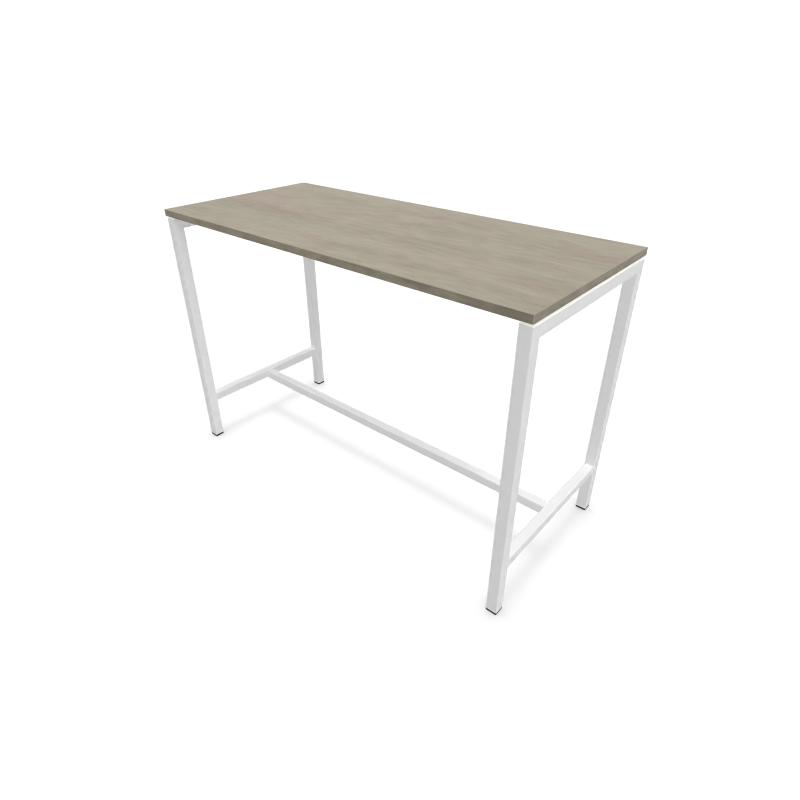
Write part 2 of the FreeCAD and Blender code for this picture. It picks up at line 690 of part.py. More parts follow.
def build_bracket(label, sx, sy):
    """Bent angle, corner at the body's origin, arms towards the middle of the table."""
    body = new_body(label, X_BRACKET * sx, Y_BRACKET * sy, Z_RAIL)
    sk = new_sketch(body, label + "_section", "XY_Plane")
    t = P.bracket_thick
    draw_polygon(sk, [
        (0, 0), (P.bracket_long * -sx, 0), (P.bracket_long * -sx, t * -sy), (t * -sx, t * -sy),
        (t * -sx, P.bracket_short * -sy), (0, P.bracket_short * -sy)])
    pad(body, sk, P.bracket_height, symmetric=True)
    sk = new_sketch(body, label + "_long_holes", "XZ_Plane")
    for k in (0, 1):
        draw_circle(sk, (P.bracket_hole_long + P.bracket_pitch_long * k) * -sx, 0, P.screw_hole)
    pocket(body, sk, symmetric=True)
    sk = new_sketch(body, label + "_short_holes", "YZ_Plane")
    for k in (0, 1):
        draw_circle(sk, (P.bracket_hole_short + P.bracket_pitch_short * k) * -sy, 0, P.screw_hole)
    pocket(body, sk, symmetric=True)
    thick, long_arm, short_arm = t.value, P.bracket_long.value, P.bracket_short.value
    high = P.bracket_height.value / 2

    def upright_at(x, y):
        return lambda m, ends: abs(m.x - x) < 1e-6 and abs(m.y - y) < 1e-6 and abs(m.z) < 1e-6

    fillet(body, P.bracket_bend, upright_at(thick * -sx, thick * -sy), 1)
    fillet(body, P.bracket_bend + t, upright_at(0, 0), 1)

    def free_corners(m, ends):
        at_tip = abs(abs(m.x) - long_arm) < 1e-6 or abs(abs(m.y) - short_arm) < 1e-6
        return at_tip and abs(abs(m.z) - high) < 1e-6

    fillet(body, P.bracket_corner, free_corners, 4)
    nodes.append(body)


for depth_name, sy in DEPTHS.items():
    for side_name, sx in SIDES.items():
        build_bracket("rail_bracket_%s_%s" % (depth_name, side_name), sx, sy)

FOUR_CORNERS = [("mirror", "YZ_Plane"), ("mirror", "XZ_Plane")]
Y_SHORT = Y_BRACKET - P.bracket_hole_short       # first hole of the short arm
X_LONG = X_BRACKET - P.bracket_hole_long         # first hole of the long arm

# Screws, front right corner first: two along X into the end rail, two along Y
# into the support rail, then copied to the other corners.
body = new_body("bracket_screws")
profile = screw_profile(P.screw_head, P.screw_crown, P.screw_head_high, P.screw_shank, P.bracket_screw_long)
seat = X_BRACKET - P.bracket_thick
turn = turned_piece(body, "end_screw_profile", "XZ_Plane", Y_SHORT, seat, ("x", 1), Z_RAIL, profile)
sk = new_sketch(body, "end_screw_socket", "YZ_Plane", seat - P.screw_head_high)
draw_hexagon(sk, -Y_SHORT, Z_RAIL, P.screw_socket)
cut = pocket(body, sk, P.screw_socket_deep, reverse=True)
repeat(body, [turn, cut], [("row", "Y_Axis", P.bracket_pitch_short, 2, False)] + FOUR_CORNERS, 8)
seat = Y_BRACKET - P.bracket_thick
turn = turned_piece(body, "rail_screw_profile", "YZ_Plane", X_LONG, -seat, ("x", -1), Z_RAIL, profile)
sk = new_sketch(body, "rail_screw_socket", "XZ_Plane", seat - P.screw_head_high)
draw_hexagon(sk, X_LONG, Z_RAIL, P.screw_socket)
cut = pocket(body, sk, P.screw_socket_deep, reverse=True)
repeat(body, [turn, cut], [("row", "X_Axis", P.bracket_pitch_long, 2, True)] + FOUR_CORNERS, 16)
nodes.append(body)

body = new_body("bracket_rivet_nuts")
turn = turned_piece(body, "end_nut_profile", "XZ_Plane", Y_SHORT, X_IN, ("x", 1), Z_RAIL, rivet_nut_profile(
    P.nut_flange, P.nut_flange_thick, P.nut_body, P.tube_wall, P.nut_bulge, P.nut_bulge_long, P.nut_long, P.nut_bore))
repeat(body, [turn], [("row", "Y_Axis", P.bracket_pitch_short, 2, False)] + FOUR_CORNERS, 8)
turn = turned_piece(body, "rail_nut_profile", "YZ_Plane", X_LONG, -(P.rail_offset - P.rail_width / 2), ("x", -1),
                    Z_RAIL, rivet_nut_profile(P.nut_flange, P.nut_flange_thick, P.nut_body, P.rail_wall,
                                              P.nut_bulge, P.nut_bulge_long, P.nut_long, P.nut_bore))
repeat(body, [turn], [("row", "X_Axis", P.bracket_pitch_long, 2, True)] + FOUR_CORNERS, 16)
nodes.append(body)


# ---------------------------------------------------------------------------
# Board fixings: spacer, screw and threaded insert at twelve places
# ---------------------------------------------------------------------------
def fixing_group(label, level, profile, socket_level=None):
    """One turned piece on the left end rail and one on the front support rail, each copied to its six places."""
    body = new_body(label)
    half = ("mirror", "YZ_Plane")
    turn = turned_piece(body, label + "_end", "XZ_Plane", P.fixing_end_pitch, level, ("y", 1), -X_TUBE, profile)
    originals = [turn]
    if socket_level is not None:
        sk = new_sketch(body, label + "_end_socket", "XY_Plane", socket_level)
        draw_hexagon(sk, -X_TUBE, -P.fixing_end_pitch, P.screw_socket)
        originals.append(pocket(body, sk, P.screw_socket_deep, reverse=True))
    repeat(body, originals, [("row", "Y_Axis", P.fixing_end_pitch, 3, False), half], 6)
    turn = turned_piece(body, label + "_rail", "XZ_Plane", P.rail_offset, level, ("y", 1),
                        -P.fixing_rail_pitch, profile)
    originals = [turn]
    if socket_level is not None:
        sk = new_sketch(body, label + "_rail_socket", "XY_Plane", socket_level)
        draw_hexagon(sk, -P.fixing_rail_pitch, -P.rail_offset, P.screw_socket)
        originals.append(pocket(body, sk, P.screw_socket_deep, reverse=True))
    repeat(body, originals, [("row", "X_Axis", P.fixing_rail_pitch, 3, False), ("mirror", "XZ_Plane")], 12)
    nodes.append(body)


fixing_group("top_spacers", Z_FRAME, [
    (0, P.screw_hole / 2), (0, P.spacer_round / 2 - 0.5), (0.5, P.spacer_round / 2),
    (P.top_gap - 0.5, P.spacer_round / 2), (P.top_gap, P.spacer_round / 2 - 0.5), (P.top_gap, P.screw_hole / 2)])
head_seat = Z_FRAME - P.tube_wall
fixing_group("top_screws", head_seat, screw_profile(
    P.screw_head, P.screw_crown, P.screw_head_high, P.screw_shank, P.top_screw_long),
    head_seat - P.screw_head_high)
lip = P.insert_lip
fixing_group("top_inserts", Z_CORE, [
    (0, P.insert_bore / 2), (0, P.insert_round / 2), (1.5, P.insert_round / 2), (2.2, P.insert_round / 2 - lip),
    (4.5, P.insert_round / 2 - lip), (5.2, P.insert_round / 2), (6.4, P.insert_round / 2),
    (7.1, P.insert_round / 2 - lip), (9.4, P.insert_round / 2 - lip), (10.1, P.insert_round / 2),
    (11.3, P.insert_round / 2), (P.insert_long, P.insert_round / 2 - 1.2), (P.insert_long, P.insert_bore / 2)])


# ---------------------------------------------------------------------------
# Leg end caps, leveller nuts, stems and pads
# ---------------------------------------------------------------------------
def build_leg_cap(label, sx, sy):
    """Moulded plug pressed into the leg; its flange closes the tube end."""
    body = new_body(label, X_TUBE * sx, Y_TUBE * sy, 0)
    floor = P.foot_height - P.cap_flange
    sk = new_sketch(body, label + "_flange", "XY_Plane", floor)
    draw_rounded_rectangle(sk, P.tube_size, P.tube_size, P.tube_round)
    pad(body, sk, P.cap_flange)
    sk = new_sketch(body, label + "_plug", "XY_Plane", P.foot_height)
    draw_rounded_rectangle(sk, P.cap_plug, P.cap_plug, P.tube_bore_round)
    draw_rounded_rectangle(sk, P.cap_plug - P.cap_wall * 2, P.cap_plug - P.cap_wall * 2, P.tube_bore_round)
    pad(body, sk, P.cap_plug_high)
    for number in range(3):
        sk = new_sketch(body, "%s_fin%d" % (label, number), "XY_Plane", P.foot_height + 6 + 7 * number)
        draw_rounded_rectangle(sk, P.cap_fin, P.cap_fin, P.tube_bore_round)
        draw_rounded_rectangle(sk, P.cap_plug - P.cap_wall, P.cap_plug - P.cap_wall, P.tube_bore_round)
        pad(body, sk, 1)
    sk = new_sketch(body, label + "_boss", "XY_Plane", P.foot_height)
    draw_circle(sk, 0, 0, P.cap_boss)
    pad(body, sk, P.cap_plug_high)
    reach = (P.cap_plug - P.cap_wall) / 2
    half = P.cap_rib / 2
    for number, across in enumerate((True, False)):
        sk = new_sketch(body, "%s_rib%d" % (label, number), "XY_Plane", P.foot_height)
        a, b = (reach, half) if across else (half, reach)
        draw_polygon(sk, [(-a, -b), (a, -b), (a, b), (-a, b)])
        pad(body, sk, P.cap_plug_high - 4)
    # from below: shallow seat for the pad, then room for its hub and the hexagon
    for part_name, start, round_, end in (("seat", floor, P.cap_recess, floor + P.cap_recess_deep),
                                          ("cavity", floor, P.cap_cavity, P.cap_cavity_top),
                                          ("bore", floor, P.cap_bore, P.cap_nut_floor)):
        sk = new_sketch(body, "%s_%s" % (label, part_name), "XY_Plane", start)
        draw_circle(sk, 0, 0, round_)
        pocket(body, sk, end - start, reverse=True)
    # from above: hexagonal pocket that holds the nut
    sk = new_sketch(body, label + "_nut_pocket", "XY_Plane", P.cap_nut_floor)
    draw_hexagon(sk, 0, 0, P.leveller_nut_width + 0.2)
    pocket(body, sk, reverse=True)
    nodes.append(body)


def build_stem(label, sx, sy):
    """Threaded rod with a hexagon for the spanner and a ball for the pad."""
    body = new_body(label, X_TUBE * sx, Y_TUBE * sy, 0)
    sk = new_sketch(body, label + "_profile", "XZ_Plane")
    r = P.ball_round / 2
    centre = P.ball_level
    neck = P.stem_neck / 2
    # ball drawn as an arc from its bottom pole to the neck
    rise = math.sqrt(r.value ** 2 - neck.value ** 2)
    angle = math.degrees(math.asin(rise / r.value))
    top = centre + Size(rise, "sqrt(%s ^ 2 - %s ^ 2)" % (r.text, neck.text))
    points = [(neck, top), (neck, P.stem_hex_floor + 0.4), (P.stem_round / 2, P.stem_hex_floor + 0.4),
              (P.stem_round / 2, P.stem_top - P.stem_chamfer),
              (P.stem_round / 2 - P.stem_chamfer, P.stem_top), (0, P.stem_top), (0, centre - r)]
    for a, b in zip(points, points[1:]):
        sk.addGeometry(Part.LineSegment(v2(a), v2(b)), False)
    circle = Part.Circle(v2((0, centre)), Vector(0, 0, 1), r.value)
    arc = sk.addGeometry(Part.ArcOfCircle(circle, math.radians(-90), math.radians(angle)), False)
    for i in range(5):
        sk.addConstraint(Sketcher.Constraint("Coincident", i, 2, i + 1, 1))
    for i in range(6):
        fix_point(sk, i, 1, *points[i])
    fix_point(sk, 5, 2, *points[6])
    sk.addConstraint(Sketcher.Constraint("Coincident", 5, 2, arc, 1))
    sk.addConstraint(Sketcher.Constraint("Coincident", 0, 1, arc, 2))
    sk.addConstraint(Sketcher.Constraint("PointOnObject", arc, 3, -2))
    revolve(body, sk, "V_Axis")
    sk = new_sketch(body, label + "_hexagon", "XY_Plane", P.stem_hex_floor)
    draw_hexagon(sk, 0, 0, P.stem_hex)
    pad(body, sk, P.stem_hex_high)
    nodes.append(body)


def build_pad(label, sx, sy):
    """Round glide that swivels on the ball of the stem."""
    body = new_body(label, X_TUBE * sx, Y_TUBE * sy, 0)
    sk = new_sketch(body, label + "_profile", "XZ_Plane")
    r = P.ball_round / 2 + P.ball_clear
    drop = P.pad_hub_top - P.ball_level
    mouth = Size(math.sqrt(r.value ** 2 - drop.value ** 2), "sqrt(%s ^ 2 - %s ^ 2)" % (r.text, drop.text))
    angle = math.degrees(math.asin(drop.value / r.value))
    edge = P.pad_round / 2
    points = [(0, P.ball_level - r), (0, 0), (edge - 0.8, 0), (edge, 0.8), (edge, P.pad_thick - 0.4),
              (edge - 0.4, P.pad_thick), (P.pad_hub / 2, P.pad_thick), (P.pad_hub / 2, P.pad_hub_top),
              (mouth, P.pad_hub_top)]
    for a, b in zip(points, points[1:]):
        sk.addGeometry(Part.LineSegment(v2(a), v2(b)), False)
    circle = Part.Circle(v2((0, P.ball_level)), Vector(0, 0, 1), r.value)
    arc = sk.addGeometry(Part.ArcOfCircle(circle, math.radians(-90), math.radians(angle)), False)
    for i in range(7):
        sk.addConstraint(Sketcher.Constraint("Coincident", i, 2, i + 1, 1))
    for i in range(8):
        fix_point(sk, i, 1, *points[i])
    fix_point(sk, 7, 2, *points[8])
    sk.addConstraint(Sketcher.Constraint("Coincident", 0, 1, arc, 1))
    sk.addConstraint(Sketcher.Constraint("Coincident", 7, 2, arc, 2))
    sk.addConstraint(Sketcher.Constraint("PointOnObject", arc, 3, -2))
    revolve(body, sk, "V_Axis")
    nodes.append(body)


for builder, stem_name in ((build_leg_cap, "leg_cap"), (build_stem, "leveller_stem"), (build_pad, "leveller_pad")):
    for depth_name, sy in DEPTHS.items():
        for side_name, sx in SIDES.items():
            builder("%s_%s_%s" % (stem_name, depth_name, side_name), sx, sy)

body = new_body("leveller_nuts")
sk = new_sketch(body, "leveller_nut_section", "XY_Plane", P.cap_nut_floor)
draw_hexagon(sk, X_TUBE, Y_TUBE, P.leveller_nut_width)
draw_circle(sk, X_TUBE, Y_TUBE, P.leveller_nut_bore)
block = pad(body, sk, P.leveller_nut_high)
repeat(body, [block], FOUR_CORNERS, 4)
nodes.append(body)

# ---------------------------------------------------------------------------
# Checks and export
# ---------------------------------------------------------------------------
doc.recompute()
faults = []
for obj in doc.Objects:
    if "Invalid" in obj.State or "Error" in obj.State:
        faults.append("%s: %s" % (obj.Label, obj.State))
    if obj.isDerivedFrom("Sketcher::SketchObject"):
        if obj.solve() != 0:
            faults.append("%s: sketch does not solve" % obj.Label)
labels = [node.Label for node in nodes]
if len(set(labels)) != len(labels) or len(labels) > 60:
    faults.append("node names are not unique, or too many")
for node in nodes:
    if node.Shape.isNull() or not node.Shape.isValid() or not node.Shape.Solids:
        faults.append("%s: bad shape" % node.Label)
if faults:
    raise RuntimeError("; ".join(faults))

os.makedirs("parts", exist_ok=True)
for node in nodes:
    node.Shape.exportStep("parts/%s.step" % node.Label)
    box = node.Shape.BoundBox
    print("%-28s solids %2d  volume %10.1f  x %8.2f %8.2f  y %8.2f %8.2f  z %8.2f %8.2f" % (
        node.Label, len(node.Shape.Solids), node.Shape.Volume,
        box.XMin, box.XMax, box.YMin, box.YMax, box.ZMin, box.ZMax))
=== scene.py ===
import json
import math

import bmesh
import bpy
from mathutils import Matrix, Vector


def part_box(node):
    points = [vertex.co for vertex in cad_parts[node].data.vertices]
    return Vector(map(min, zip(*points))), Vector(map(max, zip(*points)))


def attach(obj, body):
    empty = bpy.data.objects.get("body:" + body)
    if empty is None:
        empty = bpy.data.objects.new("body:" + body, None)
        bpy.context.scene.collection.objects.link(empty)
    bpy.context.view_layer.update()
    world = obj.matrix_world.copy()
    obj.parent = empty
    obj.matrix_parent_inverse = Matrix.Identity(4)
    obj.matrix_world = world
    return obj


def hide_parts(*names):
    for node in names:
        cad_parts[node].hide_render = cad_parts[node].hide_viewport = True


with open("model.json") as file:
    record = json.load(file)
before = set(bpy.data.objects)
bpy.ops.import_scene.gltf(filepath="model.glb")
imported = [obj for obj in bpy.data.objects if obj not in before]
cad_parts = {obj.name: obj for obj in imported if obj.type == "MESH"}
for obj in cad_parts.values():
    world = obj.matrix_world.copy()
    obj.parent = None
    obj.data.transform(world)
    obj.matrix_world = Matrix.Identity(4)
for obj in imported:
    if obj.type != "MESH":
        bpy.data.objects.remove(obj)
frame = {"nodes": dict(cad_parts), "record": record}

nodes = frame["nodes"]
scene = bpy.context.scene
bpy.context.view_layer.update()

MM = 0.001


# ---------------------------------------------------------------------------
# Node trees
# ---------------------------------------------------------------------------
class Graph:
    """A material with a Principled shader, and short ways to add nodes to it."""

    def __init__(self, name):
        self.material = bpy.data.materials.new(name)
        self.material.use_nodes = True
        self.tree = self.material.node_tree
        self.tree.nodes.clear()
        output = self.node("ShaderNodeOutputMaterial")
        self.shader = self.node("ShaderNodeBsdfPrincipled")
        self.tree.links.new(self.shader.outputs["BSDF"], output.inputs["Surface"])
        self.output = output

    def node(self, kind, **settings):
        made = self.tree.nodes.new(kind)
        for key, value in settings.items():
            setattr(made, key, value)
        return made

    def feed(self, socket, value):
        if isinstance(value, bpy.types.NodeSocket):
            self.tree.links.new(value, socket)
        else:
            socket.default_value = value

    def math(self, operation, a, b=None, c=None, clamp=False):
        made = self.node("ShaderNodeMath", operation=operation, use_clamp=clamp)
        for socket, value in zip(made.inputs, (a, b, c)):
            if value is not None:
                self.feed(socket, value)
        return made.outputs[0]

    def axes(self):
        """x, y and z of the row frame, which rides with the piece."""
        source = self.node("ShaderNodeTexCoord")
        split = self.node("ShaderNodeSeparateXYZ")
        self.feed(split.inputs[0], source.outputs["Object"])
        return tuple(split.outputs)

    def point(self, u, v, w, scales=(1, 1, 1), shift=(0, 0, 0)):
        made = self.node("ShaderNodeCombineXYZ")
        for socket, value, scale, move in zip(made.inputs, (u, v, w), scales, shift):
            self.feed(socket, self.math("MULTIPLY_ADD", value, scale, move))
        return made.outputs[0]

    def noise(self, point, detail=1.0, roughness=0.5, scale=1.0, distortion=0.0):
        made = self.node("ShaderNodeTexNoise", noise_dimensions="3D")
        self.feed(made.inputs["Vector"], point)
        self.feed(made.inputs["Scale"], scale)
        self.feed(made.inputs["Detail"], detail)
        self.feed(made.inputs["Roughness"], roughness)
        self.feed(made.inputs["Distortion"], distortion)
        return made.outputs[0]

    def cells(self, point, scale=1.0, feature="F1", output="Distance", randomness=1.0):
        made = self.node("ShaderNodeTexVoronoi", voronoi_dimensions="3D", feature=feature)
        self.feed(made.inputs["Vector"], point)
        self.feed(made.inputs["Scale"], scale)
        self.feed(made.inputs["Randomness"], randomness)
        return made.outputs[output]

    def ramp(self, value, low, high, to_low=0.0, to_high=1.0, smooth=True):
        made = self.node("ShaderNodeMapRange", interpolation_type="SMOOTHSTEP" if smooth else "LINEAR")
        for socket, number in zip(made.inputs, (value, low, high, to_low, to_high)):
            self.feed(socket, number)
        return made.outputs[0]

    def mix(self, share, a, b, blend="MIX"):
        made = self.node("ShaderNodeMix", data_type="RGBA", blend_type=blend)
        self.feed(made.inputs[0], share)
        self.feed(made.inputs[6], a if isinstance(a, bpy.types.NodeSocket) else (*a, 1.0))
        self.feed(made.inputs[7], b if isinstance(b, bpy.types.NodeSocket) else (*b, 1.0))
        return made.outputs[2]

    def lighten(self, colour, factor):
        """colour times a number that varies over the surface."""
        made = self.node("ShaderNodeVectorMath", operation="SCALE")
        self.feed(made.inputs[0], colour)
        self.feed(made.inputs["Scale"], factor)
        return made.outputs[0]

    def bump(self, height, distance, strength=1.0, onto=None):
        made = self.node("ShaderNodeBump")
        self.feed(made.inputs["Strength"], strength)
        self.feed(made.inputs["Distance"], distance)
        self.feed(made.inputs["Height"], height)
        if onto is not None:
            self.feed(made.inputs["Normal"], onto)
        return made.outputs[0]

    def finish(self, **sockets):
        for name, value in sockets.items():
            socket = self.shader.inputs[name.replace("_", " ").title().replace("Ior", "IOR")]
            if isinstance(value, tuple) and len(value) == 3:
                value = (*value, 1.0)
            self.feed(socket, value)
        return self.material


# ---------------------------------------------------------------------------
# Materials
# ---------------------------------------------------------------------------
GREEN_BEIGE = (0.3438, 0.3135, 0.2463)
PINK_BEIGE = (0.3480, 0.2893, 0.2390)
# Band core colour, lighter than the bands' print: the band core plus a painted highlight on the arrises and cut ends.
BAND_CORE_AND_HIGHLIGHT = (0.338, 0.305, 0.243)


def oak(name, along, across, tone=1.0, seed=0.0, contrast=1.0, drift=(0.0, 0.0), patch=(0.15, 0.034), patch_share=0.25,
        hue_patch=(0.32, 0.050), warmth=1.0, core_and_highlight_above=None):
    """Grey-beige oak print. The grain runs along one axis of the row frame; tone darkens or lightens it all.

    patch and hue_patch are the length and width of the cloudy areas that differ in brightness and in hue; warmth
    above 1 takes that much blue out; drift is the slow change of tone per metre along and across the grain, which on
    the top is partly painted sheen.
    """
    g = Graph(name)
    xyz = dict(zip("xyz", g.axes()))
    u, v = xyz[along], xyz[across]
    w = xyz[({"x", "y", "z"} - {along, across}).pop()]

    # The grain wanders slowly sideways along its length, and shivers a little over a hand's width.
    sway = g.noise(g.point(u, v, w, (0.8, 1.6, 1.6), (seed, seed, 0)), 1.0)
    waver = g.noise(g.point(u, v, w, (6.0, 7.0, 7.0), (seed + 5, 0, 0)), 2.0)
    v1 = g.math("ADD", v, g.math("MULTIPLY_ADD", sway, 0.110, -0.055))
    v1 = g.math("ADD", v1, g.math("MULTIPLY_ADD", waver, 0.016, -0.008))

    def grain(length, width, shift, detail, roughness=0.5):
        """Noise centred on 0, drawn out along the grain; length and width of one patch in metres."""
        here = g.point(u, v1, w, (0.5 / length, 0.5 / width, 0.5 / width), (seed + shift, 0.37 * shift, 0))
        return g.math("SUBTRACT", g.noise(here, detail, roughness), 0.5)

    plank = grain(0.70, 0.060, 11, 2.0, 0.5)
    cloud = grain(patch[0], patch[1], 13, 2.0, 0.5)
    feather = grain(0.040, 0.0095, 17, 3.0, 0.55)
    streak = grain(0.045, 0.0042, 19, 2.0, 0.55)
    fine = grain(0.034, 0.0014, 23, 2.0, 0.6)
    hair = grain(0.012, 0.00042, 29, 1.0)

    # Early wood has open pores, dark and short; late wood is closed and paler. Zones follow the grain.
    zone = g.math("ADD", g.math("MULTIPLY", feather, 1.4), g.math("MULTIPLY", plank, 1.2))
    open_zone = g.ramp(zone, 0.02, -0.26)
    pore = g.cells(g.point(u, v1, w, (95.0, 1500.0, 1500.0), (seed + 37, 0, 0)))
    pore = g.math("MULTIPLY", g.ramp(pore, 0.08, 0.32, 1.0, 0.0), open_zone)
    # Pale flecks, the ends of rays that the cut has laid bare.
    fleck = g.ramp(grain(0.016, 0.0030, 31, 2.0, 0.6), 0.13, 0.25)

    k = contrast
    hue = g.math("MULTIPLY", grain(hue_patch[0], hue_patch[1], 41, 2.0), 1.05)
    hue = g.math("MULTIPLY_ADD", grain(0.045, 0.020, 43, 1.0), 0.9, hue)
    hue = g.math("MULTIPLY_ADD", feather, 0.25, hue)
    green, pink = ((r, gr, b / warmth) for r, gr, b in (GREEN_BEIGE, PINK_BEIGE))
    colour = g.mix(g.ramp(hue, -0.115, 0.25), green, pink)
    light = g.math("MULTIPLY_ADD", plank, 0.40 * k, tone)
    for layer, share in ((cloud, patch_share), (feather, 0.41), (streak, 0.29), (fine, 0.21), (hair, 0.22)):
        light = g.math("MULTIPLY_ADD", layer, share * k, light)
    light = g.math("MULTIPLY_ADD", fleck, 0.055 * k, light)
    light = g.math("MULTIPLY_ADD", pore, -0.20 * k, light)
    # Slow slopes of tone along and across the grain; on the top the slope across the grain is painted sheen.
    for place, slope in zip((u, v), drift):
        if slope:
            light = g.math("MULTIPLY_ADD", place, slope, light)
    colour = g.lighten(colour, light)

    height = g.math("MULTIPLY_ADD", pore, -1.0, g.math("MULTIPLY", fine, 0.6))
    if core_and_highlight_above is not None:
        # The cut ends and the rounded arrises show the band's own plastic, paler than the print on its face; they are
        # also painted near the top's tone, a painted highlight where these edges catch the light.
        core_and_highlight = core_and_highlight_above(g, xyz)
        plain = g.lighten(g.mix(0.5, BAND_CORE_AND_HIGHLIGHT, PINK_BEIGE), g.math("MULTIPLY_ADD", hair, 0.06, 0.99))
        colour = g.mix(core_and_highlight, colour, plain)
        height = g.math("MULTIPLY", height, g.math("SUBTRACT", 1.0, core_and_highlight))
    rough = g.math("MULTIPLY_ADD", pore, 0.16, g.math("MULTIPLY_ADD", fine, 0.10, 0.55))
    return g.finish(
        base_color=colour,
        roughness=rough,
        specular_ior_level=0.35,
        normal=g.bump(height, 0.00010, 0.5),
    )


def powder_coat():
    """Satin white powder coat: a very fine orange peel and a faint unevenness of gloss.

    The tops of the end rails, which show as a bright line in the gap under the board, are painted paler: painted light
    standing in for light that reaches into the gap. That is a match to their look and not a second coat.
    """
    g = Graph("white_powder_coat")
    x, y, z = g.axes()
    here = g.point(x, y, z)
    peel = g.noise(here, 2.0, 0.55, 620.0)
    grit = g.noise(here, 1.0, 0.5, 2600.0)
    cloud = g.noise(here, 2.0, 0.5, 9.0)
    height = g.math("MULTIPLY_ADD", grit, 0.35, peel)
    shade = g.math("MULTIPLY_ADD", peel, 0.016, g.math("MULTIPLY_ADD", cloud, 0.012, 0.986))
    plain = g.mix(cloud, (0.802, 0.800, 0.801), (0.807, 0.806, 0.803))
    paler = g.mix(cloud, (0.932, 0.930, 0.926), (0.942, 0.940, 0.934))
    # Painted light: the tops of the end rails are coloured paler, standing in for light that falls into the gap under
    # the board.
    at_end = g.ramp(g.math("ABSOLUTE", x, 0.0), 0.70, 0.75)
    painted_light_on_rail_tops = g.math("MULTIPLY", g.ramp(z, 1.0155, 1.0166), at_end)
    return g.finish(
        base_color=g.lighten(g.mix(painted_light_on_rail_tops, plain, paler), shade),
        roughness=g.math("MULTIPLY_ADD", cloud, 0.08, g.math("MULTIPLY_ADD", grit, 0.06, 0.41)),
        specular_ior_level=0.32,
        normal=g.bump(height, 0.00006, 0.5),
    )


def moulded_black():
    """Spark-eroded black plastic, a little paler where handling has polished it."""
    g = Graph("black_plastic")
    x, y, z = g.axes()
    here = g.point(x, y, z)
    spark = g.noise(here, 2.0, 0.6, 1500.0)
    cloud = g.noise(here, 2.0, 0.5, 60.0)
    shade = g.math("MULTIPLY_ADD", spark, 0.5, g.math("MULTIPLY_ADD", cloud, 0.3, 0.6))
    return g.finish(
        base_color=g.lighten(g.mix(cloud, (0.009, 0.009, 0.0095), (0.013, 0.013, 0.0135)), shade),
        roughness=g.math("MULTIPLY_ADD", spark, 0.18, 0.48),
        specular_ior_level=0.25,
        normal=g.bump(spark, 0.00008, 0.6),
    )


def zinc():
    """Bright zinc plate on turned and cold-formed fasteners: faint straw and blue clouds over fine drawing lines."""
    g = Graph("zinc_steel")
    x, y, z = g.axes()
    here = g.point(x, y, z)
    cloud = g.noise(here, 3.0, 0.6, 170.0)
    lines = g.noise(g.point(x, y, z, (700.0, 700.0, 9000.0)), 2.0, 0.6)
    tint = g.mix(g.ramp(cloud, 0.35, 0.65), (0.62, 0.64, 0.67), (0.69, 0.67, 0.61))
    return g.finish(
        base_color=g.lighten(tint, g.math("MULTIPLY_ADD", lines, 0.12, 0.92)),
        metallic=1.0,
        roughness=g.math("MULTIPLY_ADD", cloud, 0.18, g.math("MULTIPLY_ADD", lines, 0.10, 0.20)),
        normal=g.bump(lines, 0.00003, 0.5),
    )


def nylon():
    """Natural nylon spacers, milky and slightly uneven."""
    g = Graph("white_nylon")
    x, y, z = g.axes()
    here = g.point(x, y, z)
    cloud = g.noise(here, 3.0, 0.5, 240.0)
    return g.finish(
        base_color=g.mix(cloud, (0.76, 0.76, 0.73), (0.82, 0.82, 0.80)),
        roughness=g.math("MULTIPLY_ADD", cloud, 0.20, 0.34),
        specular_ior_level=0.5,
        normal=g.bump(cloud, 0.00008, 0.4),
    )


def particleboard():
    """Raw chipboard: pressed chips of several browns."""
    g = Graph("particleboard")
    x, y, z = g.axes()
    coarse = g.point(x, y, z, (260.0, 260.0, 700.0))
    chip = g.cells(coarse, output="Color")
    split = g.node("ShaderNodeSeparateColor")
    g.feed(split.inputs[0], chip)
    dust = g.noise(g.point(x, y, z, (1400.0, 1400.0, 1800.0)), 2.0)
    colour = g.mix(split.outputs[0], (0.46, 0.33, 0.20), (0.66, 0.52, 0.35))
    colour = g.mix(g.ramp(split.outputs[1], 0.82, 0.95), colour, (0.20, 0.12, 0.07))
    return g.finish(
        base_color=g.lighten(colour, g.math("MULTIPLY_ADD", dust, 0.4, 0.8)),
        roughness=g.math("MULTIPLY_ADD", dust, 0.15, 0.75),
        specular_ior_level=0.2,
        normal=g.bump(g.math("ADD", split.outputs[0], dust), 0.0004, 0.6),
    )


def end_of_long_band(g, xyz):
    """1 on the cut ends of the long bands and on the arrises of all of them, where the band core and a painted
    highlight show.
    """
    end = g.ramp(g.math("ABSOLUTE", xyz["x"]), 0.79680, 0.79760)
    arris = g.ramp(g.math("ABSOLUTE", g.math("SUBTRACT", xyz["z"], 1.0375)), 0.01120, 0.01165)
    return g.math("MAXIMUM", end, arris)


def arris_of_short_band(g, xyz):
    # 1 on the arrises of the short bands, where the band core and a painted highlight show.
    return g.ramp(g.math("ABSOLUTE", g.math("SUBTRACT", xyz["z"], 1.0375)), 0.01120, 0.01165)


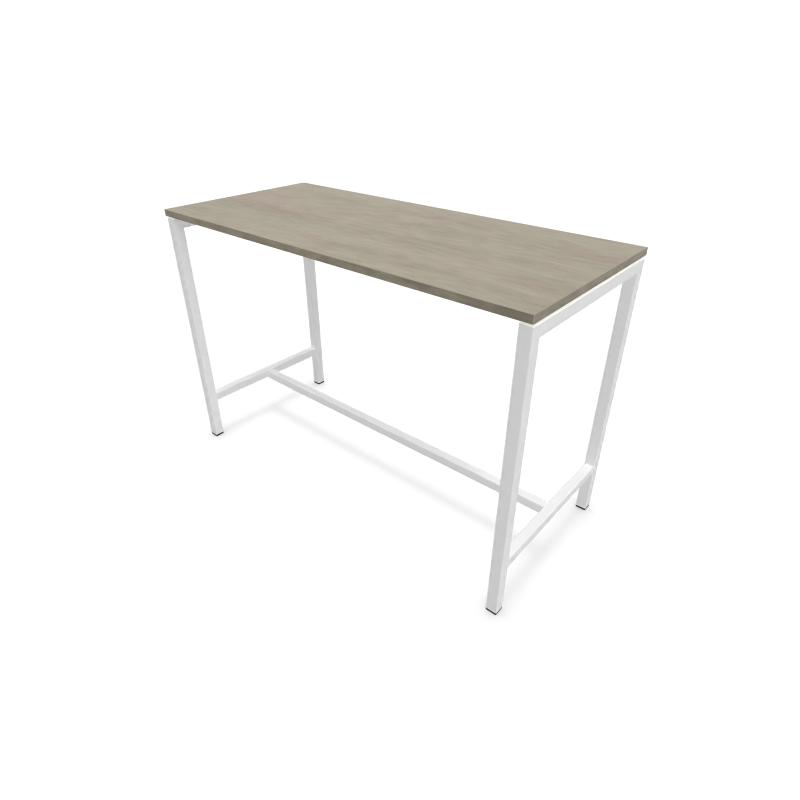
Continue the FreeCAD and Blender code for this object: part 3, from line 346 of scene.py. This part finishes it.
MATERIALS = {
    # The top's drift across the grain is painted sheen, lighter towards the back; along the grain it darkens the top a
    # little towards the right.
    "oak_laminate": oak("oak_laminate", "x", "y", tone=1.028, seed=22.2, drift=(-0.03, 0.08)),
    "backing_laminate": oak("backing_laminate", "x", "y", tone=0.97, seed=40.0, contrast=0.8),
    # The edge band is made as two copies of different tone: the short bands lighter than the long ones, as painted
    # light for the brighter right end of the board.
    "long_edge_band": oak("long_edge_band", "x", "z", tone=0.720, seed=71.0, contrast=0.8, drift=(-0.045, 0.0), patch=(0.030, 0.022),
                          patch_share=0.60, hue_patch=(0.045, 0.040), warmth=1.05, core_and_highlight_above=end_of_long_band),
    "short_edge_band": oak("short_edge_band", "y", "z", tone=0.755, seed=93.0, contrast=0.8, patch=(0.030, 0.022),
                           patch_share=0.60, hue_patch=(0.045, 0.040), core_and_highlight_above=arris_of_short_band),
    "white_powder_coat": powder_coat(),
    "black_plastic": moulded_black(),
    "zinc_steel": zinc(),
    "white_nylon": nylon(),
    "particleboard": particleboard(),
}

slot_of = {row["node"]: row["material_slot"] for row in frame["record"]["subparts"]}
for name, obj in nodes.items():
    slot = slot_of[name]
    if slot == "edge_band":
        slot = "long_edge_band" if name.endswith(("_front", "_back")) else "short_edge_band"
    obj.data.materials.clear()
    obj.data.materials.append(MATERIALS[slot])


# ---------------------------------------------------------------------------
# Levelling stems with a real thread
# ---------------------------------------------------------------------------
SEGMENTS = 32
PER_PITCH = 8
PITCH = 1.25
ROOT, CREST = 3.30, 3.93


def thread_depth(phase):
    """Radius over one pitch of an M8 thread: flat crest, straight flanks, flat root."""
    phase %= 1.0
    if phase < 0.125:
        return CREST
    if phase < 0.375:
        return CREST + (ROOT - CREST) * (phase - 0.125) / 0.25
    if phase < 0.625:
        return ROOT
    if phase < 0.875:
        return ROOT + (CREST - ROOT) * (phase - 0.625) / 0.25
    return CREST


def lathe(mesh, rings, centre, segments=SEGMENTS):
    """Closed shell of revolution about a vertical line. rings are (height, radius) from bottom to top, with radius 0 at both ends."""
    levels = []
    for height, radius in rings:
        if radius < 1e-9:
            levels.append([mesh.verts.new(centre + Vector((0, 0, height)))])
        else:
            levels.append([
                mesh.verts.new(centre + Vector((
                    radius * math.cos(2 * math.pi * k / segments),
                    radius * math.sin(2 * math.pi * k / segments), height)))
                for k in range(segments)])
    for low, high in zip(levels, levels[1:]):
        for k in range(segments):
            n = (k + 1) % segments
            if len(low) == 1:
                mesh.faces.new((low[0], high[n], high[k]))
            elif len(high) == 1:
                mesh.faces.new((low[k], low[n], high[0]))
            else:
                mesh.faces.new((low[k], low[n], high[n], high[k]))


def threaded_stem(name, centre):
    """Ball, neck, hexagon and M8 x 1.25 right-hand thread, standing where the plain CAD stem stands."""
    mesh = bmesh.new()
    at = Vector((centre.x, centre.y, 0))

    # Ball and neck below the hexagon.
    ball = []
    for step in range(0, 11):
        angle = -math.pi / 2 + step * (math.pi / 2 + math.acos(2.5 / 4.0)) / 10
        ball.append((5.4 + 4.0 * math.sin(angle), max(4.0 * math.cos(angle), 0.0)))
    ball[0] = (1.4, 0.0)
    ball += [(9.35, 2.5), (9.35, 0.0)]
    lathe(mesh, [(h * MM, r * MM) for h, r in ball], at)

    # Hexagon, its corners turned off at 30 degrees above and below.
    flat, low, high = 6.5, 9.2, 13.2
    corner = flat / math.cos(math.pi / 6)
    rows = []
    steps = 4
    for level, inner in ((low, True), (low, False), (high, False), (high, True)):
        row = []
        for side in range(6):
            for part in range(steps):
                angle = math.radians(60 * side - 30 + 60 * part / steps)
                edge = flat / math.cos(math.radians(60 * part / steps - 30))
                turned = flat * 0.985
                radius = turned if inner else edge
                drop = 0.0
                if not inner:
                    drop = (edge - turned) * math.tan(math.radians(30))
                z = level + (drop if level == low else -drop)
                row.append(mesh.verts.new(at + Vector((
                    radius * MM * math.cos(angle), radius * MM * math.sin(angle), z * MM))))
        rows.append(row)
    count = len(rows[0])
    for a, b in zip(rows, rows[1:]):
        for k in range(count):
            n = (k + 1) % count
            mesh.faces.new((a[k], a[n], b[n], b[k]))
    mesh.faces.new(list(reversed(rows[0])))
    mesh.faces.new(rows[-1])

    # Thread: rows of vertices that climb one pitch per turn, so a row joins the one a pitch above it.
    bottom, top = 13.0, 48.0
    first = -PER_PITCH
    last = int((top - bottom) / PITCH * PER_PITCH) + PER_PITCH
    grid = []
    for i in range(first, last + 1):
        row = []
        for k in range(SEGMENTS):
            turn = k / SEGMENTS
            z = bottom + PITCH * (i / PER_PITCH + turn)
            radius = thread_depth(i / PER_PITCH)
            if z > top - 1.0:
                radius = min(radius, ROOT - 0.35 + 1.0 * (top - min(z, top)))
            if z < bottom + 1.6:
                radius = min(radius, ROOT + 0.02)
            z = min(max(z, bottom), top)
            angle = 2 * math.pi * turn
            row.append(mesh.verts.new(at + Vector((
                radius * MM * math.cos(angle), radius * MM * math.sin(angle), z * MM))))
        grid.append(row)
    rows_made = len(grid)
    for i in range(rows_made - 1):
        for k in range(SEGMENTS - 1):
            mesh.faces.new((grid[i][k], grid[i][k + 1], grid[i + 1][k + 1], grid[i + 1][k]))
        if i + PER_PITCH + 1 < rows_made:
            mesh.faces.new((grid[i][SEGMENTS - 1], grid[i + PER_PITCH][0],
                            grid[i + PER_PITCH + 1][0], grid[i + 1][SEGMENTS - 1]))
    bmesh.ops.remove_doubles(mesh, verts=[v for row in grid for v in row if v.is_valid], dist=1e-7)
    bmesh.ops.dissolve_degenerate(mesh, edges=mesh.edges[:], dist=1e-7)
    loose = [v for v in mesh.verts if not v.link_faces]
    bmesh.ops.delete(mesh, geom=loose, context="VERTS")
    # Flat ends close the threaded part.
    open_edges = [e for e in mesh.edges if e.is_boundary]
    if open_edges:
        bmesh.ops.holes_fill(mesh, edges=open_edges, sides=0)
    bmesh.ops.recalc_face_normals(mesh, faces=mesh.faces[:])

    data = bpy.data.meshes.new(name)
    mesh.to_mesh(data)
    mesh.free()
    data.materials.append(MATERIALS["zinc_steel"])
    made = bpy.data.objects.new(name, data)
    scene.collection.objects.link(made)
    data.shade_smooth()
    data.set_sharp_from_angle(angle=math.radians(28))
    return made


for depth in ("front", "back"):
    for side in ("left", "right"):
        corner = f"{depth}_{side}"
        low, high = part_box(f"leveller_stem_{corner}")
        middle = (low + high) / 2
        stem = threaded_stem(f"threaded_stem_{corner}", middle)
        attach(stem, f"stem_{corner}")
        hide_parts(f"leveller_stem_{corner}")


# ---------------------------------------------------------------------------
# Floor, light and camera
# ---------------------------------------------------------------------------
PI = math.pi
ROOM = 0.30          # the part of the light from all round that the table can shade
SHEEN = 0.45         # how bright the room and floor look in a reflection
FLOOR_GLOW = 0.390   # light of the floor that no shadow takes away
FLOOR_PAINT = 0.02   # reflectance of the shaded layer, kept low so that no other light shows on it

floor_data = bpy.data.meshes.new("studio_floor")
floor_data.from_pydata(
    [(-30, -30, -0.0004), (30, -30, -0.0004), (30, 30, -0.0004), (-30, 30, -0.0004)], [], [(0, 1, 2, 3)])
floor = bpy.data.objects.new("studio_floor", floor_data)
scene.collection.objects.link(floor)

g = Graph("studio_floor")
g.tree.nodes.remove(g.shader)
path = g.node("ShaderNodeLightPath")
glow = g.node("ShaderNodeEmission")
g.feed(glow.inputs["Color"], (1.0, 1.0, 1.0, 1.0))
g.feed(glow.inputs["Strength"], FLOOR_GLOW)
paint = g.node("ShaderNodeBsdfDiffuse")
g.feed(paint.inputs["Color"], (FLOOR_PAINT, FLOOR_PAINT, FLOOR_PAINT, 1.0))
seen = g.node("ShaderNodeAddShader")
g.feed(seen.inputs[0], glow.outputs[0])
g.feed(seen.inputs[1], paint.outputs[0])
lit = g.node("ShaderNodeEmission")
g.feed(lit.inputs["Color"], (1.0, 1.0, 1.0, 1.0))
g.feed(lit.inputs["Strength"], g.ramp(path.outputs["Is Diffuse Ray"], 0.0, 1.0, SHEEN, ROOM, smooth=False))
which = g.node("ShaderNodeMixShader")
g.feed(which.inputs[0], path.outputs["Is Camera Ray"])
g.feed(which.inputs[1], lit.outputs[0])
g.feed(which.inputs[2], seen.outputs[0])
# Seen from underneath the floor isn't there, so that the underside of the table can be looked at.
side = g.node("ShaderNodeNewGeometry")
clear = g.node("ShaderNodeBsdfTransparent")
under = g.node("ShaderNodeMixShader")
g.feed(under.inputs[0], side.outputs["Backfacing"])
g.feed(under.inputs[1], which.outputs[0])
g.feed(under.inputs[2], clear.outputs[0])
g.tree.links.new(under.outputs[0], g.output.inputs["Surface"])
floor_data.materials.append(g.material)

world = bpy.data.worlds.new("studio")
scene.world = world
world.use_nodes = True
tree = world.node_tree
tree.nodes.clear()
end = tree.nodes.new("ShaderNodeOutputWorld")
white = tree.nodes.new("ShaderNodeBackground")
ray = tree.nodes.new("ShaderNodeLightPath")
for_table = tree.nodes.new("ShaderNodeMapRange")
for_all = tree.nodes.new("ShaderNodeMapRange")
for node_, low, high in ((for_table, SHEEN, ROOM), (for_all, None, 1.15)):
    node_.inputs["From Min"].default_value = 0.0
    node_.inputs["From Max"].default_value = 1.0
    node_.inputs["To Max"].default_value = high
    if low is not None:
        node_.inputs["To Min"].default_value = low
tree.links.new(ray.outputs["Is Diffuse Ray"], for_table.inputs["Value"])
tree.links.new(ray.outputs["Is Camera Ray"], for_all.inputs["Value"])
tree.links.new(for_table.outputs[0], for_all.inputs["To Min"])
white.inputs["Color"].default_value = (1, 1, 1, 1)
tree.links.new(for_all.outputs[0], white.inputs["Strength"])
tree.links.new(white.outputs[0], end.inputs["Surface"])


def group_of(name, members):
    """A collection outside the scene, for the lights to point at."""
    made = bpy.data.collections.new(name)
    for member in members:
        made.objects.link(member)
    return made


def sun(name, towards_light, strength, spread_deg, shadow=True, gloss=True, only_on=None, only_behind=None):
    """A far soft light; towards_light points from the table to it, strength is its share of white."""
    data = bpy.data.lights.new(name, "SUN")
    data.energy = strength * PI
    data.angle = math.radians(spread_deg)
    data.use_shadow = shadow
    if spread_deg > 90:
        # Otherwise the rays that leave a surface by chance and reach the light would be shaded by everything.
        data.cycles.use_multiple_importance_sampling = False
    made = bpy.data.objects.new(name, data)
    made.rotation_mode = "QUATERNION"
    made.rotation_quaternion = Vector(towards_light).to_track_quat("Z", "Y")
    made.visible_glossy = gloss
    if only_on is not None:
        made.light_linking.receiver_collection = only_on
    if only_behind is not None:
        made.light_linking.blocker_collection = only_behind
    scene.collection.objects.link(made)
    return made


def pick_nodes(*starts):
    return [obj for name, obj in nodes.items() if name.startswith(starts)]


foot_end = group_of("foot_end", pick_nodes("leg_", "end_foot_bar", "long_foot_bar", "leveller_pad"))
uprights = group_of("uprights", pick_nodes("leg_", "leveller_pad"))
soles = group_of("soles", pick_nodes("leg_cap", "leveller_pad"))
floor_only = group_of("floor_only", [floor])

sun("key_light", (0.42, -0.115, 1.0), 0.111, 10.0)
sun("side_light", (1.0, -0.25, 0.9), 0.235, 40.0)
sun("ceiling", (0, 0, 1), 0.527, 180.0, shadow=False, gloss=False)
sun("open_ceiling", (0, 0, 1), 0.083, 180.0, gloss=False)
sun("floor_bounce", (0, 0, -1), 0.115, 180.0, shadow=False, gloss=False)
sun("right_bounce", (1, 0, 0), 0.035, 60.0, shadow=False, gloss=False)
# Cones of light that only the floor sees and only parts of the table shade: two small ones draw the bars'
# shadows, the wide one darkens the floor round the legs and the widest the gap under the feet.
for name, share, spread, behind in (
        ("narrow", 0.085, 12.0, foot_end), ("middle", 0.25, 34.0, foot_end),
        ("wide", 0.20, 150.0, uprights), ("contact", 0.12, 178.0, soles)):
    sun("floor_light_" + name, (0, 0, 1), share / FLOOR_PAINT, spread, gloss=False,
        only_on=floor_only, only_behind=behind)

camera_data = bpy.data.cameras.new("camera")
camera_data.lens = 25.634
camera_data.sensor_width = 36.0
camera_data.clip_start = 0.05
camera_data.clip_end = 200.0
camera = bpy.data.objects.new("camera", camera_data)
camera.location = (1.3560, -1.4750, 1.5594)
camera.rotation_euler = (math.radians(90 - 31.249), 0.0, math.radians(40.583))
scene.collection.objects.link(camera)
scene.camera = camera

# Edges stay crisp: a pixel gathers light from little more than its own square.
scene.cycles.filter_width = 1.05
scene.view_settings.view_transform = "Standard"
scene.view_settings.look = "None"
scene.view_settings.exposure = 0.0
scene.view_settings.gamma = 1.0
